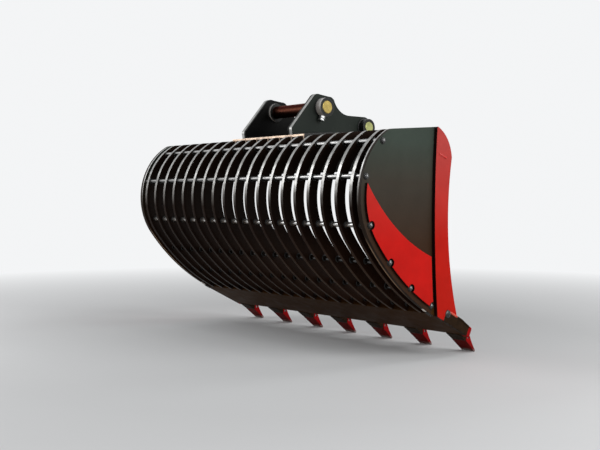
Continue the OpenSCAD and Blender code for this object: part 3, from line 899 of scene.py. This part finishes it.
def weld_lip_ends():
    corners = bmesh.new()
    ends = bmesh.new()
    for side in SIDES:
        x = side * (SHELL_X + SIDE_X) / 2
        # A bead whose cream colour is a painted glint at the lip's corner
        lay(corners, [on_lip(x, u, n) for u, n in GLINT_SEAM], GLINT_RUN)
        lay(ends, [on_lip(x, u, n) for u, n in END_SEAM], END_RUN)
    add_piece("lip_corner_welds", corners, bright_weld)
    add_piece("lip_end_welds", ends, plug_steel)


def dress_cutters():
    marks = bmesh.new()
    plugs = bmesh.new()
    seams = bmesh.new()
    rounds = bmesh.new()
    shoulder = LIP_L - LIP_BEVEL
    front = LIP_L + LEG_WEB - LEG_INSET
    for side in SIDES:
        x = side * CUTTER_X
        lay(marks, [Vector((x, y, z)) for y, z in MARK_LINE], MARK_RUN)
        dome(plugs, on_lip(x, *PLUG_AT), side)
        edge = side * (CUTTER_X - LEG_ROUND / 2)
        lay(seams, [on_lip(edge, u, LEG_H) for u in LEG_SEAM_U], LEG_RUN)
        corners = [
            on_lip(edge, LEG_ROUND_U, LEG_H),
            on_lip(edge, shoulder, LEG_H),
            on_lip(edge, front, LEG_FRONT_H),
            on_lip(edge, front, LEG_FOOT_H),
        ]
        lay(rounds, corners, ROUND_RUN)
    add_piece("cutter_marks", marks, mark_red)
    add_piece("corner_plugs", plugs, plug_steel)
    # These beads carry the painted highlight and red reflection
    add_piece("leg_welds", seams, leg_glint_weld)
    add_piece("leg_rounds", rounds, adapter_iron)


# Floor, world and lamps

WHITE = (0.98, 0.99, 1.0, 1.0)
PALE = 0.92
DIM = 0.35
FADE = (1.4, 3.6)
FLOOR_PALE = (0.66, 0.665, 0.67)
FLOOR_DIM = (0.34, 0.24, 0.17)
FLOOR_HALF = 14.0
FLOOR_GAP = 0.0005
FLOOR_ROUGH = 0.9
FLOOR_SHINE = 0.1
LAMP_AIM = Vector((0.0, -0.1, -0.35))

# Each lamp's name, place, size and watts
LAMPS = (
    ("panel", (-1.5, -2.0, 0.75), (1.3, 1.6), 36.0),
    ("rim", (1.6, 2.2, 2.0), (1.2, 1.0), 16.0),
    ("side", (3.2, 0.6, 0.6), (1.8, 1.8), 62.0),
)


def seen_ray(tree):
    """1 for rays that show the surroundings themselves, 0 for rays that only light the part."""
    path = tree.nodes.new("ShaderNodeLightPath")
    seen = path.outputs["Is Camera Ray"]
    for kind in ("Is Glossy Ray", "Is Transmission Ray"):
        either = tree.nodes.new("ShaderNodeMath")
        either.operation = "MAXIMUM"
        tree.links.new(seen, either.inputs[0])
        tree.links.new(path.outputs[kind], either.inputs[1])
        seen = either.outputs[0]
    return seen


def floor_material():
    """Pale where it is seen, dimmer where it lights the part, and fading into the backdrop."""
    n = Nodes("floor_pale", FLOOR_SHINE)
    seen = seen_ray(n.tree)
    n.give(n.mix(seen, FLOOR_DIM, n.mottle(FLOOR_PALE, *FLOOR_CLOUDS)), "Base Color")
    n.shader.inputs["Roughness"].default_value = FLOOR_ROUGH
    far = n.add("ShaderNodeVectorMath", operation="LENGTH")
    n.link(n.place(), far.inputs[0])
    glow = n.add("ShaderNodeEmission", Strength=PALE, Color=WHITE)
    blend = n.add("ShaderNodeMixShader")
    n.link(n.times(n.remap(far.outputs["Value"], *FADE), seen), blend.inputs[0])
    n.link(n.shader.outputs[0], blend.inputs[1])
    n.link(glow.outputs[0], blend.inputs[2])
    n.link(blend.outputs[0], n.tree.nodes["Material Output"].inputs["Surface"])
    return n.mat


def make_floor():
    mesh = bpy.data.meshes.new("floor")
    half = FLOOR_HALF
    z = cad_box[0][2] - FLOOR_GAP
    corners = [(-half, -half, z), (half, -half, z), (half, half, z), (-half, half, z)]
    mesh.from_pydata(corners, [], [(0, 1, 2, 3)])
    mesh.materials.append(floor_material())
    floor = bpy.data.objects.new("floor", mesh)
    scene.collection.objects.link(floor)


def make_world():
    world = bpy.data.worlds.new("world")
    world.use_nodes = True
    tree = world.node_tree
    backdrop = tree.nodes["Background"]
    backdrop.inputs["Color"].default_value = WHITE
    level = tree.nodes.new("ShaderNodeMapRange")
    level.inputs["To Min"].default_value = DIM
    level.inputs["To Max"].default_value = PALE
    tree.links.new(seen_ray(tree), level.inputs["Value"])
    tree.links.new(level.outputs["Result"], backdrop.inputs["Strength"])
    scene.world = world


def make_lamps():
    for name, at, size, watts in LAMPS:
        data = bpy.data.lights.new(name, "AREA")
        data.shape = "RECTANGLE"
        data.size, data.size_y = size
        data.energy = watts
        obj = bpy.data.objects.new(name, data)
        scene.collection.objects.link(obj)
        obj.location = at
        obj.rotation_euler = (LAMP_AIM - Vector(at)).to_track_quat("-Z", "Y").to_euler()


make_camera()
dress()
weld_rods()
weld_base()
weld_ears()
weld_straps()
weld_tails()
weld_lip_ends()
dress_cutters()
make_floor()
make_world()
make_lamps()
scene.view_settings.view_transform = "Standard"
